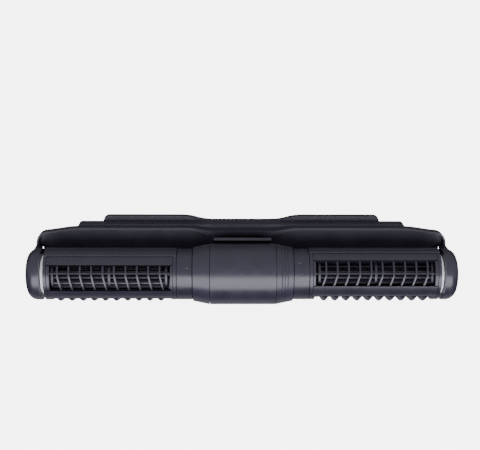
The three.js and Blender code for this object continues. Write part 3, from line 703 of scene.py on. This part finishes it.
def screw_piece(name, length, matrix):
    """A crowned pan head with a cross recess, on a plain shank along +X from the head's top at 0."""
    crown = bezier([(0, 0), (0, SCREW_RADIUS * 0.8), (HEAD_THICK * 0.35, SCREW_HEAD)], 8)
    shank = [(HEAD_THICK, SCREW_HEAD), (HEAD_THICK, SCREW_RADIUS), (length, SCREW_RADIUS), (length, 0)]
    screw = to_object(name, moved(turned([(0, 0)] + crown + shank, 48), matrix))
    deep = (-THROUGH, RECESS_DEPTH)
    narrow = (-RECESS_WIDTH / 2, RECESS_WIDTH / 2)
    long = (-RECESS_LONG / 2, RECESS_LONG / 2)
    for bar in (box_shape(deep, narrow, long), box_shape(deep, long, narrow)):
        cut(screw, moved(bar, matrix))
    return soften(screw, 0.12, 2)


def make_cover_screws():
    for index, (x, z) in enumerate(COVER_SCREWS, start=1):
        matrix = Matrix.Translation((x, HOOD_INSIDE - 2, z)) @ Matrix.Rotation(math.pi / 2, 4, "Z")
        screw = screw_piece(f"cover_screw_head_{index}", COVER_SCREW_LENGTH, matrix)
        place(screw, "bracket", "stainless_steel", FINISHES["stainless_steel"], f"cover_screw_{index}")


# ------------------------------------------------------------------ end pieces

CAP_EDGE = 8  # radius of the cap's round edge
CAP_CROWN = 1  # rise of the crown past the round edge
BOSS_START = 158.2
BOSS_FLOOR = 166.0
CAP_SCREW = (13, 0)
CAP_SCREW_SEAT = 175.5
CAP_SCREW_SUNK = 2
CAP_SCREW_LENGTH = 6.5
END_RING_RADIUS = 16.4


def end_cap_profile():
    """A boss that holds the bearing, and a cap with a round edge and a low crown."""
    start = CAP_END - CAP_CROWN - CAP_EDGE
    low = CAP_RADIUS - CAP_EDGE
    quarter = spread(0, math.pi / 2, 25)
    rim = [(start + CAP_EDGE * math.sin(a), low + CAP_EDGE * math.cos(a)) for a in quarter]
    crown = bezier([(CAP_END - CAP_CROWN, low), (CAP_END, CAP_RADIUS / 3), (CAP_END, 0)], 16)
    seat = [(BOSS_FLOOR, 0), (BOSS_FLOOR, BEARING_SEAT), (BOSS_START, BEARING_SEAT)]
    boss = [(BOSS_START, BOSS_RADIUS), (CAP_START, BOSS_RADIUS)]
    return seat + boss + [(CAP_START, CAP_RADIUS)] + rim + crown


def make_end_cap(side, name):
    cap = to_object("cap_" + name, turned(end_cap_profile()))
    screw_room = rod_shape(CAP_SCREW_SEAT, CAP_END + THROUGH, SCREW_HEAD + FIT, 48)
    cut(cap, moved(screw_room, Matrix.Translation((0, *CAP_SCREW))))
    soften(cap, 0.35, 3)
    to_side(cap, side)
    place(cap, "bracket", "body_plastic", FINISHES["body_plastic"], "end_cap_" + name)


def make_cap_screw(side, name):
    top = Matrix.Translation((CAP_SCREW_SEAT + CAP_SCREW_SUNK, *CAP_SCREW))
    inwards = Matrix.Rotation(math.pi, 4, "Z")
    screw = screw_piece("cap_screw_" + name, CAP_SCREW_LENGTH, top @ inwards)
    to_side(screw, side)
    place(screw, "bracket", "stainless_steel", FINISHES["stainless_steel"], "end_cap_screw_" + name)


def make_end_ring(side, name):
    shape = ring_shape(CAGE_END + RUN, CAP_START - FIT, BOSS_RADIUS + RUN, END_RING_RADIUS)
    ring = to_object("wear_ring_" + name, shape)
    soften(ring, 0.3, 3)
    to_side(ring, side)
    place(ring, "bracket", "white_plastic", FINISHES["white_plastic"], "end_ring_" + name)


# ------------------------------------------------------------------ motor

FOOT_ROOT = BARREL_BORE + 0.8
SPIGOT_END = 53.4
BEARING_END = 50.8
BEARING_START = 36.3
BELL_HOLLOW = 20  # radius of the room inside a bell
BELL_SPIGOT = 23.6  # x at which a bell's spigot in the barrel starts
BELL_SPIGOT_RADIUS = BARREL_BORE - FIT
FINE_RINGS = (0.3, 0.47, 0.64)  # places along the bell
FINE_RING_WIDTH = 0.8
FINE_RING_DEPTH = 0.3


def make_barrel():
    """The barrel with its foot and the boss for the cable gland."""
    barrel = to_object("barrel", ring_shape(-BARREL_HALF, BARREL_HALF, BARREL_BORE, BARREL_RADIUS))
    foot_x, foot_z = [(-half, half) for half in FOOT_HALF]
    join(barrel, box_shape(foot_x, (FOOT_ROOT, HOOD_INSIDE - FIT), foot_z))
    boss = rod_shape(FOOT_ROOT, GLAND_START - FIT, GLAND_BOSS_RADIUS)
    join(barrel, moved(boss, lay_along(GLAND_TURN)))
    soften(barrel, 0.2, 3)
    place(barrel, "bracket", "body_plastic", FINISHES["body_plastic"], "motor_shell")


def bell_radius(x):
    t = (x - BELL_FACE) / (BELL_END - BELL_FACE)
    return BARREL_RADIUS + (BELL_END_RADIUS - BARREL_RADIUS) * t


def bell_profile(with_rings):
    """The bell is a shallow cone down to the collar; the right one carries three fine rings."""
    cone = [(BELL_FACE, BARREL_RADIUS)]
    for part in FINE_RINGS if with_rings else ():
        start = BELL_FACE + (BELL_END - BELL_FACE) * part
        for t in spread(0, 1, 9):
            x = start + FINE_RING_WIDTH * t
            cone.append((x, bell_radius(x) - FINE_RING_DEPTH * math.sin(math.pi * t)))
    cone.append((BELL_END, BELL_END_RADIUS))
    spigot = [(BELL_END, SPIGOT_RADIUS), (SPIGOT_END, SPIGOT_RADIUS)]
    bore = [(SPIGOT_END, SHAFT_BORE), (BEARING_END, SHAFT_BORE)]
    seat = [(BEARING_END, BEARING_SEAT), (BEARING_START, BEARING_SEAT)]
    hollow = [(BEARING_START, BELL_HOLLOW), (BELL_SPIGOT, BELL_HOLLOW)]
    rim = [(BELL_SPIGOT, BELL_SPIGOT_RADIUS), (BELL_FACE, BELL_SPIGOT_RADIUS)]
    return cone + spigot + bore + seat + hollow + rim


def make_bell(side, name):
    bell = to_object("bell_" + name, turned(bell_profile(side > 0)))
    soften(bell, 0.3, 3, angle=50)
    to_side(bell, side)
    place(bell, "bracket", "body_plastic", FINISHES["body_plastic"], "motor_end_bell_" + name)


FLANGE_END = GLAND_START + 2
THREAD_START = GLAND_START + 6.4
THREAD_STEP = 0.2  # half the thread's pitch, and its depth
GLAND_END = GLAND_START + 8.4
DISH_FLOOR = GLAND_END - 1
NUT_START = GLAND_START + 2.3
NUT_THICK = 4
NUT_RADIUS = 6.4
HEXAGON = 6


def gland_profile():
    """A flange, a threaded neck and a dished seal, along the gland's own line."""
    root = GLAND_RADIUS - THREAD_STEP
    flange = [(GLAND_START, 0), (GLAND_START, GLAND_BOSS_RADIUS), (FLANGE_END, GLAND_BOSS_RADIUS)]
    thread = [(THREAD_START + i * THREAD_STEP, GLAND_RADIUS if i % 2 else root) for i in range(6)]
    tip = [(GLAND_END - 0.4, root), (GLAND_END, GLAND_RADIUS - 0.8)]
    dish = [(GLAND_END, 2.6), (DISH_FLOOR, 2.2), (DISH_FLOOR, 0)]
    return flange + [(FLANGE_END, GLAND_RADIUS)] + thread + tip + dish


def make_gland():
    gland = to_object("gland", moved(turned(gland_profile(), 96), lay_along(GLAND_TURN)))
    soften(gland, 0.15, 2)
    place(gland, "bracket", "body_plastic", BRACKET_FINISH, "cable_gland")


def make_gland_nut():
    end = NUT_START + NUT_THICK
    blank = rod_shape(NUT_START, end, NUT_RADIUS, HEXAGON)
    nut = to_object("gland_ring_nut", moved(blank, lay_along(GLAND_TURN)))
    bore = rod_shape(NUT_START - THROUGH, end + THROUGH, GLAND_RADIUS + 0.15, 96)
    cut(nut, moved(bore, lay_along(GLAND_TURN)))
    soften(nut, 0.4, 3)
    place(nut, "bracket", "body_plastic", BRACKET_FINISH, "gland_nut")


# ------------------------------------------------------------------ cages

RIB_MIDDLE = (WINDOW[0] + WINDOW[1]) / 2 + 1
RIB_CENTRES = [RIB_MIDDLE + (i - (RIB_COUNT - 1) / 2) * RIB_PITCH for i in range(RIB_COUNT)]
RIB_ROOT = CAGE_BORE + 0.2
PANEL_ROOM = 0.12  # gap between a panel's end and the shell
FIT_TURN = 0.35
CUT_RADIUS = (CAGE_BORE - 3, CAGE_RADIUS + 3)  # from inside the cage's wall to outside it
CAGE_END_WALL = 2
COLLAR_BORE = SPIGOT_RADIUS + RUN
COLLAR_PLUG = CAGE_BORE - FIT  # radius of the plug that holds the shell on its collar
COLLAR_PLUG_END = 56.7
MARK_X = (44.4, 47.3)
MARK_TURNS = (22.2, 24.2)
STRINGER_HALF = 1.5


def cage_piece(piece, node, side, name, turn):
    to_side(piece, side, turn)
    place(piece, "cage_" + name, "cage_plastic", FINISHES["cage_plastic"], *([node] if node else []))


def make_cage_shell(side, name, turn):
    """The tube, with a closed back that stands a little proud of the panels."""
    start = COLLAR_END + FIT
    bore = BOSS_RADIUS + RUN
    tube = [(start, CAGE_BORE), (start, CAGE_RADIUS), (CAGE_END, CAGE_RADIUS)]
    end_wall = [(CAGE_END, bore), (CAGE_END - CAGE_END_WALL, bore), (CAGE_END - CAGE_END_WALL, CAGE_BORE)]
    shell = to_object("cage_" + name, turned(tube + end_wall))
    back = block((start, CAGE_END), (CAGE_RADIUS - 0.5, CAGE_RADIUS + BACK_RISE))
    join(shell, bent(back, spread(OUTLET_PANEL[1], 360 + INLET_PANEL[0], 65)))
    room = block((PANEL[0] - PANEL_ROOM, PANEL[1] + PANEL_ROOM), CUT_RADIUS)
    for low, high in (OUTLET_PANEL, INLET_PANEL):
        cut(shell, bent(room, spread(low, high, 41)))
    soften(shell, 0.4, 3)
    cage_piece(shell, "cage_shell_" + name, side, name, turn)


def make_collar(side, name, turn):
    """The collar with its index dash and the plug that goes into the shell."""
    band = [(COLLAR_START, COLLAR_BORE), (COLLAR_START, CAGE_RADIUS), (COLLAR_END, CAGE_RADIUS)]
    plug = [(COLLAR_END, COLLAR_PLUG), (COLLAR_PLUG_END, COLLAR_PLUG), (COLLAR_PLUG_END, COLLAR_BORE)]
    collar = to_object("collar_" + name, turned(band + plug))
    soften(collar, 0.35, 3)
    cage_piece(collar, "cage_collar_" + name, side, name, turn)
    dash = block(MARK_X, (CAGE_RADIUS - 0.5, CAGE_RADIUS + 0.15))
    mark = to_object("index_mark_" + name, bent(dash, spread(*MARK_TURNS, 5)))
    soften(mark, 0.1, 2)
    cage_piece(mark, None, side, name, turn)
    mark.data.materials[0] = MARK_FINISH


def panel(name, turns, window):
    """A bent plate that fills its room in the shell, with a window in it."""
    plate = block(PANEL, (CAGE_BORE, CAGE_RADIUS))
    piece = to_object(name, bent(plate, spread(turns[0] + FIT_TURN, turns[1] - FIT_TURN, 49)))
    return cut(piece, bent(block(WINDOW, CUT_RADIUS), spread(*window, 41)))


def stringer(turn):
    """A bar along the window that ties its ribs together."""
    bar = block((WINDOW[0] - 1, WINDOW[1] + 1), (CAGE_BORE + 0.3, CAGE_RADIUS - 0.6))
    return bent(bar, spread(turn - STRINGER_HALF, turn + STRINGER_HALF, 3))


# The turns at which the ribs bend and at which their stringer lies, as the pump is set.
RIB_KINK = 16.5
STRINGER_TURN = 20.5
RIB_FOOT = 32.0
RIB_LEAN = 3.0


def rib_lean(turn, kink):
    """How far an outlet rib that bends at the kink has leaned towards the motor at a turn."""
    if turn > kink:
        return 0.0
    return -RIB_LEAN * (kink - turn) / (kink + RIB_FOOT)


def make_outlet(side, name, turn):
    grille = panel("outlet_" + name, OUTLET_PANEL, OUTLET_WINDOW)
    soften(grille, 0.35, 3)
    half = RIB_WIDTH / 2
    radius = (RIB_ROOT, CAGE_RADIUS - 0.3)
    span = spread(-RIB_FOOT, RIB_FOOT, 27)

    def lean(rib_turn):
        return rib_lean(rib_turn, RIB_KINK - turn)

    ribs = [bent(block((c - half, c + half), radius), span, lean) for c in RIB_CENTRES]
    lattice = to_object("outlet_ribs_" + name, merged(*ribs))
    join(lattice, stringer(STRINGER_TURN - turn))
    soften(lattice, 0.3, 2)
    cage_piece(grille, "outlet_grille_" + name, side, name, turn)
    cage_piece(lattice, None, side, name, turn)


INLET_ROOT = 2.7  # half width of an inlet rib
INLET_CREST = 1.2
INLET_RISE = 1.2  # how far the ribs stand proud of the cage
INLET_SHOULDER = CAGE_RADIUS - 0.6


def inlet_rib(centre):
    """A rib's section: broad at its root and round at its crest."""
    high = CAGE_RADIUS + INLET_RISE
    left, right = centre - INLET_ROOT, centre + INLET_ROOT
    flank = bezier([(right, INLET_SHOULDER), (centre + INLET_CREST, high), (centre, high)], 6)
    mirrored = [(2 * centre - x, r) for x, r in reversed(flank[:-1])]
    foot = [(left, INLET_SHOULDER), (left, RIB_ROOT), (right, RIB_ROOT), (right, INLET_SHOULDER)]
    return foot + flank + mirrored


def make_inlet(side, name, turn):
    guard = panel("inlet_" + name, INLET_PANEL, INLET_WINDOW)
    soften(guard, 0.35, 3)
    span = spread(INLET_WINDOW[0] - 2, INLET_WINDOW[1] + 2, 37)
    ribs = [bent(inlet_rib(c), span) for c in RIB_CENTRES]
    lattice = to_object("inlet_ribs_" + name, merged(*ribs))
    join(lattice, stringer(sum(INLET_WINDOW) / 2))
    soften(lattice, 0.25, 2, angle=50)
    cage_piece(guard, "inlet_guard_" + name, side, name, turn)
    cage_piece(lattice, None, side, name, turn)


# ------------------------------------------------------------------ impellers

IMPELLER = (61.8, 156.7)
IMPELLER_RADIUS = 16.2
BLADE_COUNT = 20
BLADE_DEPTH = 5
BLADE_THICK = 0.9
DISC_THICK = 2.0
DISC_RING = 6  # how far the middle disc reaches in from its rim
DRIVE_BORE = 4.75
DRIVE_BOSS = (64.95, 66.8)  # where the driven boss is bored to, and where it ends
DRIVE_BOSS_RADIUS = 7.1
PIN_BORE = 2.15
PIN_BOSS = (150.5, 148.7)  # where the boss is bored for the pin to, and where it ends
PIN_BOSS_RADIUS = 4.6


def blade_outline():
    """A blade's section in (y, z): a thin curve with a round tip."""
    outer = IMPELLER_RADIUS - BLADE_THICK
    inner = outer - BLADE_DEPTH
    middle = (inner + outer) / 2
    under = [(inner, 0)] + bezier([(inner, 0), (middle, -0.4), (outer, 2.2)], 10)
    over = [(y, z + BLADE_THICK) for y, z in reversed(under)]
    return under + over


def end_disc(face, inwards, bore, boss, boss_radius):
    """An end disc of an impeller with a boss inside it, bored from the disc's outer face."""
    floor, end = boss
    inner_face = face + inwards * DISC_THICK
    outside = [(floor, 0), (floor, bore), (face, bore), (face, IMPELLER_RADIUS)]
    inside = [(inner_face, IMPELLER_RADIUS), (inner_face, boss_radius), (end, boss_radius), (end, 0)]
    return turned(outside + inside)


def make_impeller(side, name):
    start, end = IMPELLER
    middle = (start + end) / 2
    half = DISC_THICK / 2
    driven = end_disc(start, 1, DRIVE_BORE, DRIVE_BOSS, DRIVE_BOSS_RADIUS)
    outer = end_disc(end, -1, PIN_BORE, PIN_BOSS, PIN_BOSS_RADIUS)
    ring = ring_shape(middle - half, middle + half, IMPELLER_RADIUS - DISC_RING, IMPELLER_RADIUS)
    blades = []
    for i in range(BLADE_COUNT):
        blade_turn = Matrix.Rotation(math.radians(i * 360 / BLADE_COUNT), 4, "X")
        blades.append(moved(beam(blade_outline(), start + half, end - half), blade_turn))
    impeller = to_object("rotor_blades_" + name, merged(driven, outer, ring, *blades))
    soften(impeller, 0.2, 2, angle=45)
    to_side(impeller, side)
    place(impeller, "rotor", "impeller_plastic", FINISHES["impeller_plastic"], "impeller_" + name)


# ------------------------------------------------------------------ pieces shown as the CAD made them

def finish_cad_nodes():
    """Inner pieces keep their CAD shape and get their slot's finish."""
    slots = {entry["node"]: entry["material_slot"] for entry in frame["record"]["subparts"]}
    for node, piece in frame["nodes"].items():
        piece.data.materials.clear()
        piece.data.materials.append(FINISHES[slots[node]])


# ------------------------------------------------------------------ stage, light and camera

VIEW_RISE = 20.0
VIEW_TURN = -1.3
VIEW_DISTANCE = 0.750
FOCAL_LENGTH = 67.4
SENSOR_WIDTH = 36.0
SHIFT_RIGHT = -0.0054
SHIFT_UP = 0.102
STUDIO_TINT = (0.91, 0.91, 1.0)
FLOOR_GLOW = 6.0
BRIGHT_SIDE = (0, -1, 0.6)  # the room is brightest this way
PUMP = Vector((0, AXIS_Y * MM, 0))  # the middle of the pump, in metres


def pale_finish():
    glow, nodes, links = new_material("pale_floor")
    nodes.remove(nodes["Principled BSDF"])
    light = nodes.new("ShaderNodeEmission")
    light.inputs["Color"].default_value = (1, 1, 1, 1)
    light.inputs["Strength"].default_value = FLOOR_GLOW
    links.new(light.outputs["Emission"], nodes["Material Output"].inputs["Surface"])
    return glow


def make_floor():
    """A pale floor well below the pump that sweeps up into a backdrop; neither shows in the plastic."""
    front, back, low, high = -1400, 4000, -1000, 3000
    half_width, sweep, thick = 7000, 900, 10
    bend = bezier([(back - sweep, low), (back, low), (back, low + sweep)], 12)
    line = [(front, low), (back - sweep, low)] + bend + [(back, high)]
    under = [(y + thick, z - thick) for y, z in reversed(line)]
    floor = to_object("floor", beam(line + under, -half_width, half_width))
    floor.data.materials.append(pale_finish())
    floor.visible_glossy = False
    floor.visible_diffuse = False
    floor.visible_shadow = False


def soft_light(name, elevation, reach, size, power):
    """A soft box that faces the pump, at an elevation in degrees measured round the pump axis."""
    data = bpy.data.lights.new(name, "AREA")
    data.shape = "RECTANGLE"
    data.size, data.size_y = size
    data.energy = power
    data.color = STUDIO_TINT
    light = bpy.data.objects.new(name, data)
    a = math.radians(elevation)
    light.location = PUMP + Vector((0, -reach * math.cos(a), reach * math.sin(a)))
    light.rotation_euler = (PUMP - light.location).to_track_quat("-Z", "Y").to_euler()
    light.visible_camera = False
    bpy.context.scene.collection.objects.link(light)


def make_studio():
    """A dim room that is brightest above and in front of the pump."""
    world = bpy.data.worlds.new("studio")
    world.use_nodes = True
    bpy.context.scene.world = world
    nodes, links = world.node_tree.nodes, world.node_tree.links
    where = nodes.new("ShaderNodeTexCoord")
    towards = nodes.new("ShaderNodeVectorMath")
    towards.operation = "DOT_PRODUCT"
    towards.inputs[1].default_value = BRIGHT_SIDE
    parts = nodes.new("ShaderNodeSeparateXYZ")
    links.new(where.outputs["Generated"], towards.inputs[0])
    links.new(where.outputs["Generated"], parts.inputs["Vector"])
    forward = ramp_of(nodes, links, towards.outputs["Value"], start=-0.5, end=0.4, low=0.14, high=0.85)
    upward = ramp_of(nodes, links, parts.outputs["Z"], start=-0.5, end=0.1, low=0.1, high=1.0)
    product = nodes.new("ShaderNodeMath")
    product.operation = "MULTIPLY"
    links.new(forward, product.inputs[0])
    links.new(upward, product.inputs[1])
    links.new(product.outputs["Value"], nodes["Background"].inputs["Strength"])
    nodes["Background"].inputs["Color"].default_value = (*STUDIO_TINT, 1)


def make_camera():
    """The camera is levelled on the pump's axis."""
    data = bpy.data.cameras.new("camera")
    data.sensor_width = SENSOR_WIDTH
    data.lens = FOCAL_LENGTH
    data.shift_x = SHIFT_RIGHT
    data.shift_y = SHIFT_UP
    camera = bpy.data.objects.new("camera", data)
    rise, turn = math.radians(VIEW_RISE), math.radians(VIEW_TURN)
    towards = Vector((math.sin(turn) * math.cos(rise), -math.cos(turn) * math.cos(rise), math.sin(rise)))
    across = Vector((1, 0, 0))
    right = (across - towards * across.dot(towards)).normalized()
    up = towards.cross(right)
    level = Matrix((right, up, towards)).transposed().to_4x4()
    camera.matrix_world = Matrix.Translation(PUMP + VIEW_DISTANCE * towards) @ level
    bpy.context.scene.collection.objects.link(camera)
    bpy.context.scene.camera = camera


# ------------------------------------------------------------------ assembly

finish_cad_nodes()
make_hood()
make_saddle()
make_housing()
make_cover()
make_pad()
make_cover_screws()
make_barrel()
make_gland()
make_gland_nut()
for side, name, turn in ((-1, "left", LEFT_CAGE_TURN), (1, "right", RIGHT_CAGE_TURN)):
    make_end_cap(side, name)
    make_cap_screw(side, name)
    make_end_ring(side, name)
    make_bell(side, name)
    make_collar(side, name, turn)
    make_cage_shell(side, name, turn)
    make_outlet(side, name, turn)
    make_inlet(side, name, turn)
    make_impeller(side, name)
make_floor()
make_studio()
soft_light("front_soft", elevation=-16, reach=1.1, size=(1.9, 1.0), power=38)
soft_light("under_soft", elevation=235, reach=1.1, size=(1.9, 1.5), power=5)
make_camera()
